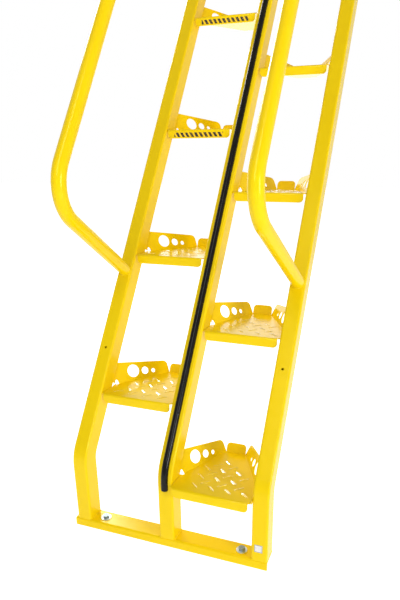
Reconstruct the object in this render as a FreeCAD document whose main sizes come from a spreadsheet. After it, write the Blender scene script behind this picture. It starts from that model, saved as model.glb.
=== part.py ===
import FreeCAD, Part
import math
import os
from FreeCAD import Placement, Rotation, Vector

# Alternating-tread stair. Three rectangular-tube stringers stand on a folded floor channel.
# Half-width treads climb in turn on the right and on the left of the centre stringer, and a
# full-width landing plate closes the top. A pipe handrail rises from each outer stringer.
# Frame: +X to the climber's right, +Y forward up the stair, +Z up. The origin is on the floor,
# midway between the two floor anchors. The pieces are drawn with y measured from the stringers'
# front faces, and are moved to the origin as they are kept.

os.makedirs("parts", exist_ok=True)
doc = FreeCAD.newDocument("alternating_tread_stair")

# ---------------------------------------------------------------- driving dimensions (mm, degrees)
sheet = doc.addObject("Spreadsheet::Sheet", "dims")
DIMENSIONS = [
    ("pitch_angle", 56.0, "slope of the stringers above the floor"),
    ("tube_width", 50.8, "stringer tube across the stair"),
    ("tube_depth", 63.5, "stringer tube front to back"),
    ("tube_wall", 3.0, "stringer tube wall"),
    ("tube_corner", 6.4, "outer corner radius of the stringer tube"),
    ("stringer_spacing", 306.5, "centre to centre of the stringers"),
    ("kink_height", 240.0, "floor channel top to the kink of the front faces"),
    ("kink_radius", 60.0, "bend radius of the stringer's rear face at the kink"),
    ("tread_rise", 208.0, "height from one tread to the next"),
    ("tread_count", 10, "half-width treads below the landing"),
    ("channel_height", 28.6, "floor channel, floor to top"),
    ("channel_wall", 4.8, "floor channel thickness"),
    ("channel_bend", 7.0, "floor channel outer bend radius"),
    ("channel_length", 673.0, "floor channel, end to end"),
    ("channel_shift", 4.5, "middle of the floor channel left of the stair's middle"),
    ("channel_rear_length", 570.0, "length of the channel's rear leg"),
    ("anchor_offset", 242.0, "floor anchor from the centre"),
    ("anchor_hole", 14.3, "floor anchor hole diameter"),
    ("anchor_rod", 12.7, "floor anchor shank diameter"),
    ("anchor_flats", 19.0, "floor anchor head across flats"),
    ("anchor_head", 8.5, "floor anchor head height"),
    ("washer_size", 34.9, "washer outside diameter"),
    ("washer_gauge", 2.6, "washer thickness"),
    ("sheet_gauge", 3.0, "tread sheet thickness"),
    ("nose_radius", 6.0, "outer bend radius at a tread's nosing"),
    ("lip_height", 30.0, "turned-down front lip, top to bottom edge"),
    ("lip_inset", 8.0, "gap between the lip's end and the stringer"),
    ("lip_corner", 13.0, "rounded bottom corners of the lip"),
    ("plate_clearance", 2.5, "gap beside the front of the walking plate"),
    ("plate_bearing", 16.0, "rear part of the plate's side that bears on the stringer"),
    ("fold_inset", 30.0, "side fold's front end from the stringer's centre"),
    ("relief_radius", 6.5, "relief hole at the front of each side fold"),
    ("right_fold_start", 90.0, "right tread, nosing to the front of the side folds"),
    ("right_depth", 272.0, "right tread, nosing to the back fold"),
    ("right_back", 147.0, "right tread, middle of the back from the centre stringer"),
    ("left_fold_start", 97.0, "left tread, nosing to the front of the side folds"),
    ("left_depth", 262.0, "left tread, nosing to the back fold"),
    ("left_back", 121.0, "left tread, middle of the back from the centre stringer"),
    ("back_half", 36.0, "half width of a tread's back"),
    ("flange_lean", 24.0, "side flanges and tab lean outwards"),
    ("flange_gap", 3.0, "side flange's front edge behind the stringer"),
    ("flange_front", 74.0, "side flange height at its front edge"),
    ("tab_half", 34.0, "half width of the back tab"),
    ("tab_height", 35.0, "back tab height"),
    ("rail_size", 42.2, "handrail pipe outside diameter"),
    ("rail_wall", 3.6, "handrail pipe wall"),
    ("rail_foot", 654.0, "kink to the handrail's foot, along the stringer"),
    ("rail_offset", 491.0, "stringer front face to the handrail's sloping run"),
    ("rail_inward", 32.0, "handrail's sloping run inside the stringer's centre"),
    ("rail_drop", 21.0, "fall of the handrail's lower leg along the stringer"),
    ("rail_bend", 112.0, "bend radius of the handrail's centre line"),
    ("rail_height", 915.0, "landing top to the handrail's level run"),
    ("rail_reach", 208.0, "landing nosing to the handrail's rear leg"),
    ("landing_depth", 265.0, "landing plate, front edge to rear face"),
    ("landing_wall", 4.8, "landing plate thickness"),
    ("landing_flange", 120.0, "turned-down rear flange, top to bottom edge"),
    ("landing_bolt_span", 480.0, "landing flange holes, across"),
    ("landing_bolt_gap", 50.0, "landing flange holes, up and down"),
    ("landing_bolt_drop", 65.0, "landing top to the middle of the holes"),
    ("landing_bolt_hole", 14.3, "landing flange hole diameter"),
    ("bumper_width", 22.0, "rubber bumper strip width"),
    ("bumper_height", 11.5, "rubber bumper strip height"),
    ("bumper_foot", 183.0, "floor channel top to the bumper's lower end"),
    ("site_hole", 8.0, "drilled hole in the front of each outer stringer"),
    ("site_hole_run", 371.0, "kink to the drilled hole, along the stringer"),
    ("strip_width", 190.0, "hazard strip on the lip of a tread"),
    ("strip_height", 15.0, "hazard strip height"),
    ("skin_gauge", 0.4, "hazard strip and label thickness"),
    ("label_width", 25.0, "blank label on the right stringer"),
    ("label_height", 26.0, "blank label height"),
    ("label_middle", 45.0, "floor channel top to the label's middle"),
    ("label_shift", 2.5, "label's middle left of the stringer's middle"),
]
for row, (alias, value, meaning) in enumerate(DIMENSIONS, start=1):
    sheet.set(f"A{row}", alias)
    sheet.set(f"B{row}", str(value))
    sheet.set(f"C{row}", meaning)
    sheet.setAlias(f"B{row}", alias)
doc.recompute()
dims = {alias: float(sheet.get(alias)) for alias, _, _ in DIMENSIONS}

# ---------------------------------------------------------------- sizes worked out from them
PITCH = math.radians(dims["pitch_angle"])
UP_SLOPE = Vector(0, math.cos(PITCH), math.sin(PITCH))
OFF_SLOPE = Vector(0, -math.sin(PITCH), math.cos(PITCH))
FLOOR_TOP = dims["channel_height"]
KINK = Vector(0, 0, FLOOR_TOP + dims["kink_height"])
HALF_TUBE = dims["tube_width"] / 2
SPACING = dims["stringer_spacing"]
TREADS = int(dims["tread_count"])


def nosing(level):
    """Point on the nosing line at a tread level; the landing is one level above the last tread."""
    top = FLOOR_TOP + level * dims["tread_rise"]
    return Vector(0, (top - KINK.z) / math.tan(PITCH), top)


LANDING = nosing(TREADS + 1)
LANDING_UNDER = LANDING.z - dims["landing_wall"]
LANDING_FRONT = (LANDING_UNDER - KINK.z) / math.tan(PITCH)


def line_behind_front(offset, bottom):
    """Corner points of a line at a distance behind the stringer's front face, from foot to landing."""
    to_rear = Vector(0, 1, 0)
    to_under = OFF_SLOPE.negative()
    corner = KINK + (to_rear + to_under) * (offset / (1 + to_rear.dot(to_under)))
    top = corner + UP_SLOPE * ((LANDING_UNDER - corner.z) / UP_SLOPE.z)
    return [Vector(0, offset, bottom), corner, top]


# ---------------------------------------------------------------- outlines
def rounded_corner(before, corner, after, radius):
    """Arc tangent to both sides of a corner."""
    back = (before - corner).normalize()
    ahead = (after - corner).normalize()
    half = back.getAngle(ahead) / 2
    reach = radius / math.tan(half)
    middle = corner + (back + ahead).normalize() * (radius / math.sin(half) - radius)
    return Part.Arc(corner + back * reach, middle, corner + ahead * reach)


def rounded_run(points, radii, closed=False):
    """Straight lines and tangent arcs through the points; a radius of 0 keeps a sharp corner."""
    count = len(points)
    curves = []
    pen = None if closed else points[0]
    stops = range(count) if closed else range(1, count - 1)
    first = None
    for stop, radius in zip(stops, radii):
        corner = points[stop]
        arc = None
        if radius > 0:
            arc = rounded_corner(points[stop - 1], corner, points[(stop + 1) % count], radius)
        entry = arc.StartPoint if arc else corner
        if pen is None:
            first = entry
        else:
            curves.append(Part.LineSegment(pen, entry))
        if arc:
            curves.append(arc)
        pen = arc.EndPoint if arc else corner
    curves.append(Part.LineSegment(pen, first if closed else points[-1]))
    return curves


def wire_of(curves):
    return Part.Wire([curve.toShape() for curve in curves])


def plate(points, radii, thickness):
    """Flat plate in the XY plane, extruded along Z; a negative thickness goes down."""
    outline = wire_of(rounded_run(points, radii, closed=True))
    return Part.Face(outline).extrude(Vector(0, 0, thickness))


# ---------------------------------------------------------------- document helpers
SUBPARTS = []


def keep(item, label, corner=Vector()):
    """Name a finished sub-part and place it in the stair's frame."""
    item.Label = label
    item.Placement = Placement(corner - Vector(0, dims["tube_depth"] / 2, 0), Rotation())
    SUBPARTS.append(item)
    return item


def new_sketch(body, name, role, curves):
    """Sketch on one of the body's own origin planes, its line ends joined."""
    sketch = body.newObject("Sketcher::SketchObject", name)
    plane = next(item for item in body.Origin.OriginFeatures if item.Role == role)
    sketch.AttachmentSupport = [(plane, "")]
    sketch.MapMode = "FlatFace"
    sketch.addGeometry(curves, False)
    sketch.detectMissingPointOnPointConstraints(0.001)
    sketch.makeMissingPointOnPointCoincident()
    return sketch


def pad(body, sketch, length):
    """Pad half of the length to each side of the sketch."""
    feature = body.newObject("PartDesign::Pad", sketch.Name + "_pad")
    feature.Profile = sketch
    feature.SideType = "Symmetric"
    feature.setExpression("Length", length)
    return feature


def pocket(body, sketch, length):
    """Cut half of the length to each side of the sketch."""
    feature = body.newObject("PartDesign::Pocket", sketch.Name + "_cut")
    feature.Profile = sketch
    feature.SideType = "Symmetric"
    feature.setExpression("Length", length)
    return feature


def in_side_view(points):
    """Points of the YZ plane as sketch coordinates."""
    return [Vector(point.y, point.z, 0) for point in points]


def profile_between(front, rear, front_radius, rear_radius):
    """Closed side profile between a front line and a rear line, each with one rounded corner."""
    points = in_side_view(front + rear[::-1])
    return rounded_run(points, [0, front_radius, 0, 0, rear_radius, 0], closed=True)


def cylinder(name, diameter, height, base):
    """Upright cylinder bound to the sheet."""
    item = doc.addObject("Part::Cylinder", name)
    item.setExpression("Radius", f"({diameter}) / 2")
    item.setExpression("Height", height)
    item.Placement.Base = base
    return item


def box(name, length, width, height, corner=Vector()):
    """Box bound to the sheet."""
    item = doc.addObject("Part::Box", name)
    item.setExpression("Length", length)
    item.setExpression("Width", width)
    item.setExpression("Height", height)
    item.Placement.Base = corner
    return item


def group_of(name, items):
    compound = doc.addObject("Part::Compound", name)
    compound.Links = items
    return compound


# ---------------------------------------------------------------- floor channel
channel = doc.addObject("PartDesign::Body", "channel_body")
channel_web_under = FLOOR_TOP - dims["channel_wall"]
front_bend = dims["channel_bend"]
front_angle = rounded_run(
    [
        Vector(0, 0, 0),
        Vector(dims["channel_wall"], 0, 0),
        Vector(dims["channel_wall"], channel_web_under, 0),
        Vector(dims["tube_depth"], channel_web_under, 0),
        Vector(dims["tube_depth"], FLOOR_TOP, 0),
        Vector(0, FLOOR_TOP, 0),
    ],
    [0, 0, front_bend - dims["channel_wall"], 0, 2, front_bend],
    closed=True,
)
rear_leg = rounded_run(
    [
        Vector(dims["tube_depth"] - dims["channel_wall"], 0, 0),
        Vector(dims["tube_depth"], 0, 0),
        Vector(dims["tube_depth"], channel_web_under, 0),
        Vector(dims["tube_depth"] - dims["channel_wall"], channel_web_under, 0),
    ],
    [0, 0, 0, 0],
    closed=True,
)
pad(channel, new_sketch(channel, "channel_angle", "YZ_Plane", front_angle), "dims.channel_length")
pad(channel, new_sketch(channel, "channel_rear_leg", "YZ_Plane", rear_leg), "dims.channel_rear_length")
ANCHORS = [Vector(side * dims["anchor_offset"], dims["tube_depth"] / 2, 0) for side in (-1, 1)]
for i, base in enumerate(ANCHORS):
    hole = channel.newObject("PartDesign::SubtractiveCylinder", f"channel_hole_{i}")
    hole.setExpression("Radius", "dims.anchor_hole / 2")
    hole.setExpression("Height", "2 * dims.channel_height")
    hole.Placement.Base = base + Vector(dims["channel_shift"], 0, 0)
keep(channel, "base_channel", Vector(-dims["channel_shift"], 0, 0))

# ---------------------------------------------------------------- floor anchors
bolts = []
washers = []
for i, base in enumerate(ANCHORS):
    seat = base + Vector(0, 0, FLOOR_TOP)
    disc = cylinder(f"washer_disc_{i}", "dims.washer_size", "dims.washer_gauge", seat)
    bore = cylinder(f"washer_bore_{i}", "dims.anchor_hole", "dims.washer_gauge", seat)
    washer = doc.addObject("Part::Cut", f"washer_{i}")
    washer.Base = disc
    washer.Tool = bore
    washers.append(washer)
    shank_length = "dims.channel_height + dims.washer_gauge"
    shank = cylinder(f"anchor_shank_{i}", "dims.anchor_rod", shank_length, base)
    head = doc.addObject("Part::Prism", f"anchor_head_{i}")
    head.Polygon = 6
    head.setExpression("Circumradius", "dims.anchor_flats / sqrt(3)")
    head.setExpression("Height", "dims.anchor_head")
    head.Placement.Base = seat + Vector(0, 0, dims["washer_gauge"])
    bolt = doc.addObject("Part::MultiFuse", f"anchor_{i}")
    bolt.Shapes = [shank, head]
    bolts.append(bolt)
keep(group_of("anchor_bolt_pair", bolts), "anchor_bolts")
keep(group_of("anchor_washer_pair", washers), "anchor_washers")


# ---------------------------------------------------------------- stringers
def long_outer_edges(shape):
    """Names of the tube's outer long edges: on a side face and not lying in an end cut."""
    names = []
    for i, edge in enumerate(shape.Edges, start=1):
        ends = edge.Vertexes
        on_side = all(abs(abs(end.X) - HALF_TUBE) < 0.01 for end in ends)
        climbs = abs(ends[0].Z - ends[-1].Z) > 1
        if on_side and climbs:
            names.append(f"Edge{i}")
    return names


def stringer(label, x, drilled):
    """Kinked rectangular tube, open at both ends."""
    body = doc.addObject("PartDesign::Body", label + "_body")
    depth = dims["tube_depth"]
    wall = dims["tube_wall"]
    rear_radius = dims["kink_radius"]
    outer = profile_between(
        line_behind_front(0, FLOOR_TOP),
        line_behind_front(depth, FLOOR_TOP),
        rear_radius + depth,
        rear_radius,
    )
    inner = profile_between(
        line_behind_front(wall, FLOOR_TOP),
        line_behind_front(depth - wall, FLOOR_TOP),
        rear_radius + depth - wall,
        rear_radius + wall,
    )
    solid = pad(body, new_sketch(body, label + "_outer", "YZ_Plane", outer), "dims.tube_width")
    doc.recompute()
    rounding = body.newObject("PartDesign::Fillet", label + "_corners")
    rounding.Base = (solid, long_outer_edges(solid.Shape))
    rounding.setExpression("Radius", "dims.tube_corner")
    pocket(
        body,
        new_sketch(body, label + "_inner", "YZ_Plane", inner),
        "dims.tube_width - 2 * dims.tube_wall",
    )
    if drilled:
        drill = body.newObject("PartDesign::SubtractiveCylinder", label + "_site_hole")
        drill.setExpression("Radius", "dims.site_hole / 2")
        drill.setExpression("Height", "4 * dims.tube_wall")
        start = KINK + UP_SLOPE * dims["site_hole_run"] - OFF_SLOPE * (2 * dims["tube_wall"])
        drill.Placement = Placement(start, Rotation(Vector(0, 0, 1), OFF_SLOPE))
    keep(body, label, Vector(x, 0, 0))


stringer("left_stringer", -SPACING, drilled=True)
stringer("centre_stringer", 0, drilled=False)
stringer("right_stringer", SPACING, drilled=True)


# ---------------------------------------------------------------- treads
# A tread is drawn in the right-hand bay in its own frame: x from the centre stringer, y from the
# nosing, z from the walking surface. The left tread's back leans further towards the centre
# stringer, and its solid is mirrored into the left-hand bay.
GAUGE = dims["sheet_gauge"]
BAY_LEFT = HALF_TUBE
BAY_RIGHT = SPACING - HALF_TUBE

# Rear part of a side flange's outline: distance short of the fold's end, height up the flange,
# corner radius.
FLANGE_REAR = [(1.5, 46, 18), (0, 8, 3), (0, 0, 0)]
# Lightening holes of a side flange: distance along the fold, height up the flange, radius.
FLANGE_HOLES = [(68, 34, 22.0), (112, 27, 13.0), (143, 21, 7.5)]
FLANGE_TOE = 12


class FoldFrame:
    """Axes of a plate that rises from a fold and leans away from the tread's middle."""

    def __init__(self, start, end):
        lean = math.radians(dims["flange_lean"])
        middle = Vector(SPACING / 2, dims["tube_depth"], 0)
        self.start = start
        self.length = (end - start).Length
        self.along = (end - start).normalize()
        outward = Vector(self.along.y, -self.along.x, 0)
        if outward.dot(start - middle) < 0:
            outward = outward.negative()
        self.upward = outward * math.sin(lean) + Vector(0, 0, math.cos(lean))
        self.normal = self.along.cross(self.upward)
        self.inward = GAUGE if self.normal.dot(outward) < 0 else -GAUGE

    def behind_stringer(self, height):
        """Distance along the fold at which a point clears the stringer's rear face."""
        to_rear = OFF_SLOPE.negative()
        wanted = dims["tube_depth"] + dims["flange_gap"]
        return (wanted - (self.start + self.upward * height).dot(to_rear)) / self.along.dot(to_rear)

    def build(self, outline, holes=()):
        points = [Vector(a, b, 0) for a, b, _ in outline]
        solid = plate(points, [radius for _, _, radius in outline], self.inward)
        for a, b, radius in holes:
            solid = solid.cut(Part.makeCylinder(radius, 4 * GAUGE, Vector(a, b, -2 * GAUGE)))
        solid.Placement = Placement(self.start, Rotation(self.along, self.upward, self.normal, "XYZ"))
        return solid


def side_flange(start, end):
    """Side flange whose front edge follows the stringer's rear face."""
    fold = FoldFrame(start, end)
    height = dims["flange_front"]
    front = [
        (0, 0, 0),
        (fold.behind_stringer(FLANGE_TOE), FLANGE_TOE, 0),
        (fold.behind_stringer(height), height, 4),
    ]
    rear = [(fold.length - short, up, radius) for short, up, radius in FLANGE_REAR]
    return fold.build(front + rear, FLANGE_HOLES)


def nosing_solid(left, right):
    """Turned-down lip with a rounded bend along the top and rounded bottom corners."""
    bend = dims["nose_radius"]
    width = right - left
    across = Vector(1, 0, 0)
    lip = plate(
        [
            Vector(left, -dims["lip_height"], 0),
            Vector(right, -dims["lip_height"], 0),
            Vector(right, -bend, 0),
            Vector(left, -bend, 0),
        ],
        [dims["lip_corner"], dims["lip_corner"], 0, 0],
        -GAUGE,
    )
    lip.rotate(Vector(), across, 90)
    centre = Vector(left, bend, -bend)
    nose = Part.makeCylinder(bend, width, centre, across)
    nose = nose.cut(Part.makeCylinder(bend - GAUGE, width, centre, across))
    nose = nose.common(Part.makeBox(width, bend, bend, Vector(left, 0, -bend)))
    return lip.fuse(nose)


def tread_solid(fold_start, depth, back_middle):
    """Folded half-width tread: lip, walking plate, two side flanges and a back tab."""
    under = -GAUGE
    toe_left = Vector(dims["fold_inset"], fold_start, under)
    toe_right = Vector(SPACING - dims["fold_inset"], fold_start, under)
    heel_left = Vector(back_middle - dims["back_half"], depth, under)
    heel_right = Vector(back_middle + dims["back_half"], depth, under)
    side_end = fold_start - dims["relief_radius"]
    bearing = side_end - dims["plate_bearing"]
    clear_left = BAY_LEFT + dims["plate_clearance"]
    clear_right = BAY_RIGHT - dims["plate_clearance"]
    outline = [
        Vector(clear_left, dims["nose_radius"], 0),
        Vector(clear_right, dims["nose_radius"], 0),
        Vector(clear_right, bearing, 0),
        Vector(BAY_RIGHT, bearing, 0),
        Vector(BAY_RIGHT, side_end, 0),
        Vector(toe_right.x, toe_right.y, 0),
        Vector(heel_right.x, heel_right.y, 0),
        Vector(heel_left.x, heel_left.y, 0),
        Vector(toe_left.x, toe_left.y, 0),
        Vector(BAY_LEFT, side_end, 0),
        Vector(BAY_LEFT, bearing, 0),
        Vector(clear_left, bearing, 0),
    ]
    walk = plate(outline, [0] * len(outline), -GAUGE)
    tab_width = 2 * dims["tab_half"]
    tab_start = Vector(back_middle - dims["tab_half"], depth, under)
    tab = FoldFrame(tab_start, tab_start + Vector(tab_width, 0, 0))
    solid = walk.fuse(
        [
            nosing_solid(BAY_LEFT + dims["lip_inset"], BAY_RIGHT - dims["lip_inset"]),
            side_flange(toe_left, heel_left),
            side_flange(toe_right, heel_right),
            tab.build(
                [
                    (0, 0, 0),
                    (0, dims["tab_height"], 13),
                    (tab_width, dims["tab_height"], 13),
                    (tab_width, 0, 0),
                ]
            ),
        ]
    )
    for toe in (toe_left, toe_right):
        relief = Part.makeCylinder(dims["relief_radius"], 8 * GAUGE, toe - Vector(0, 0, 2 * GAUGE))
        solid = solid.cut(relief)
    return solid.removeSplitter()


def tread_for(side):
    solid = tread_solid(dims[side + "_fold_start"], dims[side + "_depth"], dims[side + "_back"])
    return solid if side == "right" else solid.mirror(Vector(), Vector(1, 0, 0))


tread_shapes = {side: tread_for(side) for side in ("right", "left")}
for level in range(1, TREADS + 1):
    side = "right" if level % 2 else "left"
    item = doc.addObject("Part::Feature", f"tread_{level}")
    item.Shape = tread_shapes[side]
    keep(item, f"{side}_tread_{level}", nosing(level))


# ---------------------------------------------------------------- landing plate
landing = doc.addObject("PartDesign::Body", "landing_body")
reach = dims["landing_depth"]
wall = dims["landing_wall"]
landing_profile = rounded_run(
    [
        Vector(0, 0, 0),
        Vector(0, -wall, 0),
        Vector(reach - wall, -wall, 0),
        Vector(reach - wall, -dims["landing_flange"], 0),
        Vector(reach, -dims["landing_flange"], 0),
        Vector(reach, 0, 0),
    ],
    [0, 0, wall, 0, 0, 2 * wall],
    closed=True,
)
landing_sketch = new_sketch(landing, "landing_profile", "YZ_Plane", landing_profile)
pad(landing, landing_sketch, "2 * dims.stringer_spacing + dims.tube_width")
for across in (-0.5, 0.5):
    for upward in (-0.5, 0.5):
        hole = landing.newObject("PartDesign::SubtractiveCylinder", "landing_hole")
        hole.setExpression("Radius", "dims.landing_bolt_hole / 2")
        hole.setExpression("Height", "4 * dims.landing_wall")
        start = Vector(
            across * dims["landing_bolt_span"],
            reach - 3 * wall,
            upward * dims["landing_bolt_gap"] - dims["landing_bolt_drop"],
        )
        hole.Placement = Placement(start, Rotation(Vector(0, 0, 1), Vector(0, 1, 0)))
keep(landing, "landing_plate", Vector(0, LANDING_FRONT, LANDING.z))


# ---------------------------------------------------------------- handrails
def handrail(side):
    """Bent pipe from the outer stringer's front face, up the slope and down to the landing."""
    face = KINK + UP_SLOPE * dims["rail_foot"] + Vector(side * SPACING, 0, 0)
    run_x = side * (SPACING - dims["rail_inward"])
    low = KINK + UP_SLOPE * (dims["rail_foot"] - dims["rail_drop"]) + OFF_SLOPE * dims["rail_offset"]
    low.x = run_x
    top = LANDING.z + dims["rail_height"]
    high = low + UP_SLOPE * ((top - low.z) / UP_SLOPE.z)
    rear = Vector(run_x, LANDING.y + dims["rail_reach"], top)
    foot = Vector(run_x, rear.y, LANDING.z)
    toward = (low - face).normalize()
    start = face - toward * (dims["tube_corner"] / 2)
    bend = dims["rail_bend"]
    spine = wire_of(rounded_run([start, low, high, rear, foot], [bend, bend, bend]))
    skins = []
    for radius in (dims["rail_size"] / 2, dims["rail_size"] / 2 - dims["rail_wall"]):
        ring = Part.Wire([Part.Circle(start, toward, radius).toShape()])
        skins.append(spine.makePipeShell([ring], True, False))
    pipe = skins[0].cut(skins[1])
    block = Part.makeBox(200, 200, 100, Vector(-100, -100, -100))
    block.Placement = Placement(face, Rotation(Vector(0, 0, 1), OFF_SLOPE))
    return pipe.cut(block)


for label, side in (("left_handrail", -1), ("right_handrail", 1)):
    item = doc.addObject("Part::Feature", label + "_pipe")
    item.Shape = handrail(side)
    keep(item, label)

# ---------------------------------------------------------------- rubber bumper strip
bumper = doc.addObject("PartDesign::Body", "bumper_body")
height = dims["bumper_height"]
front_radius = dims["kink_radius"] + dims["tube_depth"]
bumper_foot = FLOOR_TOP + dims["bumper_foot"]
bumper_profile = profile_between(
    line_behind_front(-height, bumper_foot),
    line_behind_front(0, bumper_foot),
    front_radius + height,
    front_radius,
)
bumper_sketch = new_sketch(bumper, "bumper_profile", "YZ_Plane", bumper_profile)
bumper_pad = pad(bumper, bumper_sketch, "dims.bumper_width")
doc.recompute()


def bumper_front_edges(shape):
    """Names of the strip's two long front edges."""
    names = []
    for i, edge in enumerate(shape.Edges, start=1):
        ends = edge.Vertexes
        climbs = abs(ends[0].Z - ends[-1].Z) > 1
        middle = edge.valueAt((edge.FirstParameter + edge.LastParameter) / 2)
        proud = max((middle - KINK).dot(OFF_SLOPE), -middle.y)
        if climbs and proud > height / 2 and abs(abs(middle.x) - dims["bumper_width"] / 2) < 0.01:
            names.append(f"Edge{i}")
    return names


bumper_round = bumper.newObject("PartDesign::Fillet", "bumper_crown")
bumper_round.Base = (bumper_pad, bumper_front_edges(bumper_pad.Shape))
bumper_round.setExpression("Radius", "dims.bumper_width / 2 - 1")
keep(bumper, "centre_bumper")

# ---------------------------------------------------------------- thin trim
label_corner = Vector(
    SPACING - dims["label_shift"] - dims["label_width"] / 2,
    -dims["skin_gauge"],
    FLOOR_TOP + dims["label_middle"] - dims["label_height"] / 2,
)
keep(
    box("label_skin", "dims.label_width", "dims.skin_gauge", "dims.label_height"),
    "blank_label",
    label_corner,
)
for level in (6, 8):
    corner = nosing(level) + Vector(
        -SPACING / 2 - dims["strip_width"] / 2,
        -dims["skin_gauge"],
        -(dims["lip_height"] + dims["nose_radius"] + dims["strip_height"]) / 2,
    )
    keep(
        box(f"strip_skin_{level}", "dims.strip_width", "dims.skin_gauge", "dims.strip_height"),
        f"hazard_strip_{level}",
        corner,
    )

# ---------------------------------------------------------------- check and write
doc.recompute()
for item in doc.Objects:
    if "Invalid" in item.State or "Error" in item.State:
        raise RuntimeError(f"{item.Label} did not compute: {item.State}")
for item in SUBPARTS:
    if item.Shape.isNull() or not item.Shape.isValid():
        raise RuntimeError(f"{item.Label} has no valid shape")
    item.Shape.exportStep(f"parts/{item.Label}.step")
    extent = item.Shape.BoundBox
    print(
        f"{item.Label:18s} solids {len(item.Shape.Solids)} volume {item.Shape.Volume / 1000:9.1f} cm3 "
        f"x {extent.XMin:8.1f} {extent.XMax:8.1f} y {extent.YMin:8.1f} {extent.YMax:8.1f} "
        f"z {extent.ZMin:8.1f} {extent.ZMax:8.1f}"
    )
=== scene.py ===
import math

import bmesh
import bpy
from mathutils import Matrix, Vector


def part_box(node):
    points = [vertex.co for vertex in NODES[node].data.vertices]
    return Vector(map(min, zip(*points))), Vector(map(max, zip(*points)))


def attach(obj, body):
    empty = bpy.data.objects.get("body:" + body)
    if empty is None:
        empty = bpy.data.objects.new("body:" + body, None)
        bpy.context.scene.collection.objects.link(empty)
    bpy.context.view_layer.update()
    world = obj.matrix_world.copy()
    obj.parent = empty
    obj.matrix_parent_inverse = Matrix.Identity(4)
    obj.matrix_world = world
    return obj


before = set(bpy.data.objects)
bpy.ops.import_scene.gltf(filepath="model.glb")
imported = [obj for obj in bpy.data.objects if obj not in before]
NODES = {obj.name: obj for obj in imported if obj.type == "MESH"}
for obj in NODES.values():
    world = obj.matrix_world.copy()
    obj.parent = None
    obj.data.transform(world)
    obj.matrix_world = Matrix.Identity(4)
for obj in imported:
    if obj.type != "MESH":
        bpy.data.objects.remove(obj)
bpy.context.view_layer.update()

# ---------------------------------------------------------------- sizes of the stair, in metres
PITCH = math.radians(56)
UP_SLOPE = Vector((0, math.cos(PITCH), math.sin(PITCH)))
OFF_SLOPE = Vector((0, -math.sin(PITCH), math.cos(PITCH)))
RISE = 0.208
BASE_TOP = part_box("base_channel")[1].z
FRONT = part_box("base_channel")[0].y
KINK_Z = BASE_TOP + 0.240
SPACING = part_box("right_stringer")[0].x + 0.0254
TUBE_HALF = 0.0254
TUBE_DEPTH = 0.0635
PIPE_RADIUS = 0.0211
RAIL_FOOT_UP_SLOPE = 0.654
RAIL_LEAN_IN = 0.032
TREADS = range(1, 11)


def nosing(level):
    top = BASE_TOP + level * RISE
    return Vector((0, FRONT + (top - KINK_Z) / math.tan(PITCH), top))


# ---------------------------------------------------------------- materials
class Shader:
    """A node material round one Principled shader."""

    def __init__(self, name):
        self.material = bpy.data.materials.new(name)
        self.material.use_nodes = True
        self.tree = self.material.node_tree
        self.bsdf = self.tree.nodes["Principled BSDF"]
        self.place = self.tree.nodes.new("ShaderNodeTexCoord").outputs["Object"]

    def node(self, kind, inputs=None, **settings):
        made = self.tree.nodes.new(kind)
        for key, value in settings.items():
            setattr(made, key, value)
        for key, value in (inputs or {}).items():
            if isinstance(value, bpy.types.NodeSocket):
                self.tree.links.new(value, made.inputs[key])
            else:
                made.inputs[key].default_value = value
        return made

    def noise(self, scale, detail, roughness=0.5):
        inputs = {"Vector": self.place, "Scale": scale, "Detail": detail, "Roughness": roughness}
        return self.node("ShaderNodeTexNoise", inputs).outputs["Fac"]

    def ramp(self, value, low, high, start=0.0, end=1.0):
        return self.node(
            "ShaderNodeMapRange",
            {"Value": value, "From Min": low, "From Max": high, "To Min": start, "To Max": end},
        ).outputs["Result"]

    def mix(self, factor, first, second):
        made = self.node("ShaderNodeMix", data_type="RGBA")
        for index, value in ((0, factor), (6, first), (7, second)):
            if isinstance(value, bpy.types.NodeSocket):
                self.tree.links.new(value, made.inputs[index])
            else:
                made.inputs[index].default_value = value
        return made.outputs[2]

    def math(self, operation, first, second=0.0):
        return self.node("ShaderNodeMath", {0: first, 1: second}, operation=operation).outputs[0]

    def bump(self, height, strength, distance):
        inputs = {"Height": height, "Strength": strength, "Distance": distance}
        return self.node("ShaderNodeBump", inputs).outputs["Normal"]

    def finish(self, **sockets):
        for name, value in sockets.items():
            socket = self.bsdf.inputs[name.replace("_", " ")]
            if isinstance(value, bpy.types.NodeSocket):
                self.tree.links.new(value, socket)
            else:
                socket.default_value = value
        return self.material


def powder_coat(name, polish=0.0):
    """Gloss yellow powder coat: orange-peel skin, slight pooling of tone, fine dust in the finish."""
    s = Shader(name)
    pooled = s.ramp(s.noise(5.0, 4.0), 0.3, 0.7)
    body = s.mix(pooled, (0.915, 0.650, 0.002, 1), (0.935, 0.678, 0.003, 1))
    flecks = s.ramp(s.noise(700.0, 2.0), 0.70, 0.80)
    body = s.mix(s.math("MULTIPLY", flecks, 0.10), body, (0.80, 0.48, 0.004, 1))
    rough = s.ramp(s.noise(40.0, 3.0), 0.3, 0.7, 0.17 - 0.05 * polish, 0.23 - 0.05 * polish)
    peel = s.bump(s.noise(420.0, 2.0), 0.05, 0.0003)
    return s.finish(
        Base_Color=body,
        Roughness=rough,
        Normal=peel,
        Specular_IOR_Level=0.45 + 0.4 * polish,
        Specular_Tint=(1.0, 0.88 + 0.1 * polish, 0.35 + 0.5 * polish, 1),
        Coat_Weight=polish,
        Coat_Roughness=0.16,
        Coat_IOR=2.2,
    )


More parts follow.
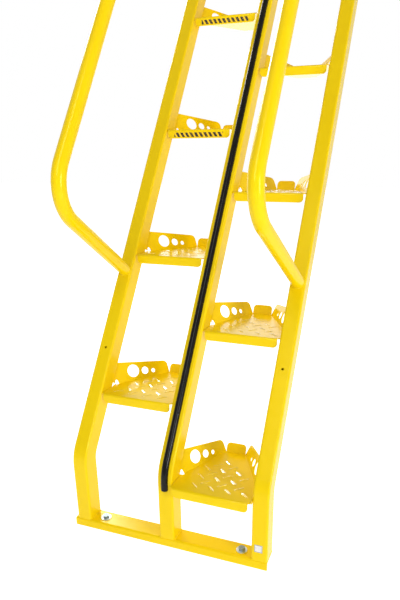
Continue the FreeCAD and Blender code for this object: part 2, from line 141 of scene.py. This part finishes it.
def rubber():
    """Black extruded rubber with a soft shine and a little dust."""
    s = Shader("bumper_rubber")
    dust = s.ramp(s.noise(40.0, 5.0, 0.6), 0.50, 0.80)
    body = s.mix(dust, (0.004, 0.004, 0.004, 1), (0.011, 0.010, 0.010, 1))
    grain = s.bump(s.noise(900.0, 3.0), 0.06, 0.0002)
    rough = s.ramp(s.noise(30.0, 3.0), 0.3, 0.7, 0.17, 0.23)
    return s.finish(Base_Color=body, Roughness=rough, Normal=grain, Specular_IOR_Level=0.24)


def zinc(name, dull, bright):
    """Zinc-plated steel with a fine spangle and some tarnish."""
    s = Shader(name)
    spangle = s.node("ShaderNodeTexVoronoi", {"Vector": s.place, "Scale": 380.0}).outputs["Distance"]
    body = s.mix(s.ramp(spangle, 0.1, 0.7), dull, bright)
    tarnish = s.ramp(s.noise(120.0, 4.0, 0.6), 0.5, 0.72)
    body = s.mix(s.math("MULTIPLY", tarnish, 0.5), body, dull)
    rough = s.ramp(s.noise(200.0, 3.0), 0.3, 0.7, 0.28, 0.5)
    return s.finish(
        Base_Color=body, Roughness=rough, Metallic=0.85, Normal=s.bump(spangle, 0.15, 0.0003)
    )


def label_film():
    """Blank sticker: white film with a thin blue-grey border and no lettering."""
    s = Shader("label_film")
    parts = s.node("ShaderNodeSeparateXYZ", {"Vector": s.place})
    low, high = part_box("blank_label")
    across = s.ramp(parts.outputs["X"], low.x, high.x, -1.0, 1.0)
    upward = s.ramp(parts.outputs["Z"], low.z, high.z, -1.0, 1.0)
    edge = s.math("MAXIMUM", s.math("ABSOLUTE", across), s.math("ABSOLUTE", upward))
    fibre = s.ramp(s.noise(300.0, 4.0), 0.35, 0.65)
    film = s.mix(fibre, (0.76, 0.77, 0.79, 1), (0.86, 0.86, 0.87, 1))
    border = s.math("GREATER_THAN", edge, 0.82)
    print_area = s.mix(s.math("MULTIPLY", border, 0.7), film, (0.22, 0.27, 0.40, 1))
    rough = s.ramp(s.noise(90.0, 2.0), 0.3, 0.7, 0.3, 0.42)
    return s.finish(Base_Color=print_area, Roughness=rough, Normal=s.bump(fibre, 0.1, 0.0001))


def hazard_film():
    """Yellow film with black slashes."""
    s = Shader("hazard_film")
    parts = s.node("ShaderNodeSeparateXYZ", {"Vector": s.place})
    along = s.math("ADD", parts.outputs["X"], s.math("MULTIPLY", parts.outputs["Z"], 0.6))
    phase = s.math("FRACT", s.math("MULTIPLY", along, 55.0))
    slash = s.math("GREATER_THAN", phase, 0.42)
    worn = s.math("GREATER_THAN", s.noise(520.0, 4.0, 0.6), 0.36)
    ink = s.math("MULTIPLY", slash, worn)
    body = s.mix(ink, (0.95, 0.62, 0.006, 1), (0.03, 0.026, 0.02, 1))
    rough = s.ramp(s.noise(160.0, 2.0), 0.3, 0.7, 0.3, 0.42)
    return s.finish(Base_Color=body, Roughness=rough, Normal=s.bump(ink, 0.1, 0.0001))


def studio_floor():
    """Pale floor that the camera sees a little brighter than it lights the stair."""
    s = Shader("studio_floor")
    tone = s.mix(s.ramp(s.noise(1.2, 3.0), 0.3, 0.7), (0.93, 0.93, 0.93, 1), (0.95, 0.95, 0.95, 1))
    seen = s.node("ShaderNodeLightPath").outputs["Is Camera Ray"]
    glow = s.ramp(seen, 0.0, 1.0, 0.3, 0.75)
    return s.finish(
        Base_Color=tone,
        Roughness=0.8,
        Specular_IOR_Level=0.0,
        Emission_Color=(1, 1, 1, 1),
        Emission_Strength=glow,
    )


COAT = powder_coat("powder_coat_yellow")
POLISHED_COAT = powder_coat("powder_coat_rubbed", polish=1.0)
RUBBER = rubber()
WASHER_ZINC = zinc("zinc_washer", (0.60, 0.68, 0.76, 1), (0.78, 0.86, 0.92, 1))
BOLT_ZINC = zinc("zinc_bolt", (0.16, 0.22, 0.25, 1), (0.34, 0.42, 0.46, 1))
LABEL = label_film()
HAZARD = hazard_film()


# ---------------------------------------------------------------- CAD nodes keep their shape
def dress(name, material, bevel=0.0):
    node = NODES[name]
    node.data.materials.clear()
    node.data.materials.append(material)
    if bevel:
        weld = node.modifiers.new("join_faces", "WELD")
        weld.merge_threshold = 0.00001
        edges = node.modifiers.new("soft_edges", "BEVEL")
        edges.width = bevel
        edges.segments = 3
        edges.limit_method = "ANGLE"
        edges.angle_limit = math.radians(35)
        edges.harden_normals = True


for name in NODES:
    if "tread" in name or "landing" in name:
        dress(name, COAT, 0.0007)
    elif "stringer" in name or "handrail" in name or name == "base_channel":
        dress(name, COAT)
    elif name == "centre_bumper":
        dress(name, RUBBER)
    elif "anchor" in name:
        dress(name, BOLT_ZINC if "bolts" in name else WASHER_ZINC, 0.0006)
    elif name == "blank_label":
        dress(name, LABEL)
    else:
        dress(name, HAZARD)


# ---------------------------------------------------------------- pieces made here
def add_piece(name, bm, material):
    mesh = bpy.data.meshes.new(name)
    bmesh.ops.recalc_face_normals(bm, faces=bm.faces)
    bm.to_mesh(mesh)
    bm.free()
    for face in mesh.polygons:
        face.use_smooth = True
    mesh.materials.append(material)
    piece = bpy.data.objects.new(name, mesh)
    bpy.context.scene.collection.objects.link(piece)
    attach(piece, "root")


def add_rings(bm, rings, closed_path=False):
    """Faces between rings of points, with the ends capped on an open path."""
    made = [[bm.verts.new(point) for point in ring] for ring in rings]
    count = len(made[0])
    pairs = list(zip(made, made[1:]))
    if closed_path:
        pairs.append((made[-1], made[0]))
    for first, second in pairs:
        for i in range(count):
            j = (i + 1) % count
            bm.faces.new((first[i], first[j], second[j], second[i]))
    if not closed_path:
        bm.faces.new(made[0][::-1])
        bm.faces.new(made[-1])


# Half of a grip bar's section from its edge to its ridge: share of the half width, share of the height.
BAR_SECTION = [(1.0, 0.0), (0.96, 0.14), (0.91, 0.21), (0.60, 0.50), (0.26, 0.82), (0.18, 0.89), (0.08, 0.96)]


def grip_bar(bm, centre, angle, length=0.036, width=0.0094, height=0.0014):
    """Pressed lozenge: a pointed bar with two even flanks and a soft ridge."""
    along = Vector((math.cos(angle), math.sin(angle), 0))
    across = Vector((-along.y, along.x, 0))
    up = Vector((0, 0, 1))
    section = BAR_SECTION + [(-share, rise) for share, rise in reversed(BAR_SECTION)]
    steps = 16
    rings = []
    for i in range(steps + 1):
        t = -1 + 2 * i / steps
        taper = max(1 - abs(t) ** 5, 0.02)
        spot = centre + along * (t * length / 2)
        ring = [
            spot + across * (share * width / 2 * taper) + up * (rise * height * taper)
            for share, rise in section
        ]
        ring.append(spot - up * 0.0006)
        rings.append(ring)
    add_rings(bm, rings)


# Grip-bar grid: pitch, first row behind the nosing, first column from the stair's middle, turn.
LOZENGE_PITCH = 0.0538
FIRST_ROW = 0.0396
FIRST_COLUMN_RIGHT = 0.0916
FIRST_COLUMN_LEFT = 0.0776
BAR_TURN = 43
DOWN_RIGHT = [(0, 0), (1, 0), (2, 0), (3, 0), (0, 1), (1, 1), (2, 1), (0, 2), (1, 2), (2, 2), (1, 3)]
UP_RIGHT = [(0.5, 0.5), (1.5, 0.5), (2.5, 0.5), (0.5, 1.5), (1.5, 1.5), (2.5, 1.5), (0.5, 2.5), (1.5, 2.5)]


def grip_bars(level):
    hand = 1 if level % 2 else -1
    nose = nosing(level)
    first = FIRST_COLUMN_RIGHT if hand > 0 else FIRST_COLUMN_LEFT
    bm = bmesh.new()
    for cells, turn in ((DOWN_RIGHT, -BAR_TURN), (UP_RIGHT, BAR_TURN)):
        for i, j in cells:
            x = hand * (first + LOZENGE_PITCH * i)
            y = nose.y + FIRST_ROW + LOZENGE_PITCH * j
            grip_bar(bm, Vector((x, y, nose.z)), math.radians(turn) * hand)
    add_piece(f"grip_bars_{level}", bm, POLISHED_COAT)


# Weld beads: radii and places, how far a bead's middle stands off the steel, points on a ring.
TREAD_BEAD = 0.0024
TREAD_BEAD_START = 0.010
TREAD_BEAD_LENGTH = 0.060
PLATE_UNDERSIDE = 0.0033
FOOT_BEAD = 0.0022
PIPE_BEAD = 0.0024
BEAD_LIFT = 0.0004
RING_POINTS = 36


def weld_bead(bm, points, radius, up=Vector((0, 0, 1)), closed=False, ripple=0.0045):
    """Rippled weld bead along a line of points."""
    line = []
    spans = list(zip(points, points[1:]))
    if closed:
        spans.append((points[-1], points[0]))
    for a, b in spans:
        count = max(2, round((b - a).length / (ripple / 3)))
        line.extend(a.lerp(b, i / count) for i in range(count))
    if not closed:
        line.append(points[-1])
    rings = []
    travelled = 0.0
    for i, spot in enumerate(line):
        ahead = line[(i + 1) % len(line)] if closed or i + 1 < len(line) else spot
        behind = line[i - 1] if closed or i > 0 else spot
        along = (ahead - behind).normalized()
        travelled += (spot - behind).length if i else 0.0
        side = along.cross(up).normalized()
        over = side.cross(along).normalized()
        size = radius * (1 + 0.13 * math.sin(2 * math.pi * travelled / ripple))
        if not closed and i in (0, len(line) - 1):
            size *= 0.4
        rings.append(
            [
                spot + (side * math.cos(a) + over * math.sin(a)) * size
                for a in (2 * math.pi * k / 8 for k in range(8))
            ]
        )
    add_rings(bm, rings, closed)


def tread_welds(level):
    """Beads under both sides of the walking plate where it meets the stringers."""
    hand = 1 if level % 2 else -1
    nose = nosing(level)
    bm = bmesh.new()
    for x in (TUBE_HALF, SPACING - TUBE_HALF):
        start = Vector((hand * x, nose.y + TREAD_BEAD_START, nose.z - PLATE_UNDERSIDE))
        weld_bead(bm, [start, start + Vector((0, TREAD_BEAD_LENGTH, 0))], TREAD_BEAD)
    add_piece(f"tread_welds_{level}", bm, COAT)


def foot_welds():
    """Beads along the inner sides of the stringers' feet on the floor channel."""
    bm = bmesh.new()
    for x in (-SPACING, 0, SPACING):
        low = Vector((x - TUBE_HALF, FRONT + 0.0012, BASE_TOP + BEAD_LIFT))
        high = Vector((x + TUBE_HALF, FRONT + TUBE_DEPTH - 0.0012, BASE_TOP + BEAD_LIFT))
        if x <= 0:
            weld_bead(bm, [Vector((high.x, low.y, low.z)), high], FOOT_BEAD)
        if x >= 0:
            weld_bead(bm, [low, Vector((low.x, high.y, low.z))], FOOT_BEAD)
    add_piece("foot_welds", bm, COAT)


def ring_bead(bm, centre, radius, second_axis, up):
    """Closed bead round a pipe's foot, in the plane of X and the second axis."""
    ring = []
    for k in range(RING_POINTS):
        a = 2 * math.pi * k / RING_POINTS
        out = Vector((1, 0, 0)) * math.cos(a) + second_axis * math.sin(a)
        ring.append(centre + out * radius)
    weld_bead(bm, ring, PIPE_BEAD, up=up, closed=True)


def rail_welds():
    """Ring beads where each handrail meets its stringer and the landing."""
    bm = bmesh.new()
    landing_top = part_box("landing_plate")[1].z
    for hand, rail in ((-1, "left_handrail"), (1, "right_handrail")):
        foot = Vector((hand * SPACING, FRONT, KINK_Z)) + UP_SLOPE * RAIL_FOOT_UP_SLOPE
        ring_bead(bm, foot + OFF_SLOPE * BEAD_LIFT, PIPE_RADIUS + 0.0002, UP_SLOPE, OFF_SLOPE)
        leg_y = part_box(rail)[1].y - PIPE_RADIUS
        leg = Vector((hand * (SPACING - RAIL_LEAN_IN), leg_y, landing_top))
        ring_bead(bm, leg, PIPE_RADIUS + 0.0004, Vector((0, 1, 0)), Vector((0, 0, 1)))
    add_piece("rail_welds", bm, COAT)


for level in TREADS:
    grip_bars(level)
    tread_welds(level)
foot_welds()
rail_welds()

# ---------------------------------------------------------------- studio
FRONT_LIGHT = 0.50
REAR_LIGHT = 0.74
CEILING = 0.45
floor_bm = bmesh.new()
bmesh.ops.create_grid(floor_bm, x_segments=8, y_segments=8, size=30)
floor_mesh = bpy.data.meshes.new("studio_floor")
floor_bm.to_mesh(floor_mesh)
floor_bm.free()
floor_mesh.materials.append(studio_floor())
floor = bpy.data.objects.new("studio_floor", floor_mesh)
bpy.context.scene.collection.objects.link(floor)

world = bpy.data.worlds.new("studio_world")
world.use_nodes = True
sky = world.node_tree
backdrop = sky.nodes["Background"]
backdrop.inputs["Color"].default_value = (1, 1, 1, 1)
backdrop.inputs["Strength"].default_value = 1.0
room = sky.nodes.new("ShaderNodeBackground")
room.inputs["Color"].default_value = (1, 0.965, 0.92, 1)
direction = sky.nodes.new("ShaderNodeTexCoord").outputs["Generated"]
parts = sky.nodes.new("ShaderNodeSeparateXYZ")
sky.links.new(direction, parts.inputs[0])
fade = sky.nodes.new("ShaderNodeMapRange")
sky.links.new(parts.outputs["Y"], fade.inputs["Value"])
fade.inputs["From Min"].default_value = -0.7
fade.inputs["From Max"].default_value = 0.5
fade.inputs["To Min"].default_value = FRONT_LIGHT
fade.inputs["To Max"].default_value = REAR_LIGHT
overhead = sky.nodes.new("ShaderNodeMapRange")
sky.links.new(parts.outputs["Z"], overhead.inputs["Value"])
overhead.inputs["To Min"].default_value = 1.0
overhead.inputs["To Max"].default_value = CEILING
dimmed = sky.nodes.new("ShaderNodeMath")
dimmed.operation = "MULTIPLY"
sky.links.new(fade.outputs["Result"], dimmed.inputs[0])
sky.links.new(overhead.outputs["Result"], dimmed.inputs[1])
sky.links.new(dimmed.outputs[0], room.inputs["Strength"])
seen = sky.nodes.new("ShaderNodeLightPath").outputs["Is Camera Ray"]
chosen = sky.nodes.new("ShaderNodeMixShader")
sky.links.new(seen, chosen.inputs[0])
sky.links.new(room.outputs[0], chosen.inputs[1])
sky.links.new(backdrop.outputs[0], chosen.inputs[2])
sky.links.new(chosen.outputs[0], sky.nodes["World Output"].inputs["Surface"])
bpy.context.scene.world = world
bpy.context.scene.view_settings.view_transform = "Standard"


def area_light(name, spot, target, power, width, height):
    lamp = bpy.data.lights.new(name, "AREA")
    lamp.shape = "RECTANGLE"
    lamp.size = width
    lamp.size_y = height
    lamp.energy = power
    made = bpy.data.objects.new(name, lamp)
    made.location = spot
    made.rotation_euler = (Vector(target) - Vector(spot)).to_track_quat("-Z", "Y").to_euler()
    bpy.context.scene.collection.objects.link(made)
    return made


MIDDLE = (0.0, 0.7, 1.2)
area_light("key", (3.9, -1.9, 1.5), MIDDLE, 80, 0.8, 1.6)
area_light("tall_front", (0.1, -2.5, 3.7), MIDDLE, 51, 0.9, 3.6)
area_light("rear_left", (-2.8, 2.9, 3.3), (0.0, 0.2, 0.5), 72, 1.4, 1.4)
lit_backdrop = area_light("lit_backdrop", (-2.1, 4.9, 1.5), (-0.1, 0.2, 0.6), 46, 4.6, 2.4)
lit_backdrop.visible_camera = False

# ---------------------------------------------------------------- camera
YAW = math.radians(19.96)
TILT = math.radians(-19.93)
ROLL = math.radians(-0.08)
to_frame = Matrix.Rotation(YAW, 3, "Z") @ Matrix.Rotation(TILT, 3, "X") @ Matrix.Rotation(ROLL, 3, "Y")
right, ahead, above = (to_frame.col[i].copy() for i in range(3))
camera_data = bpy.data.cameras.new("camera")
camera_data.sensor_fit = "HORIZONTAL"
camera_data.sensor_width = 36.0
camera_data.lens = 48.98
camera_data.shift_x = -0.058
camera_data.shift_y = 0.156
camera_data.clip_end = 100
camera = bpy.data.objects.new("camera", camera_data)
axes = Matrix((right, above, -ahead)).transposed()
camera.matrix_world = Matrix.Translation((0.66261, -1.29786 + FRONT, 1.12612 + BASE_TOP)) @ axes.to_4x4()
bpy.context.scene.collection.objects.link(camera)
bpy.context.scene.camera = camera
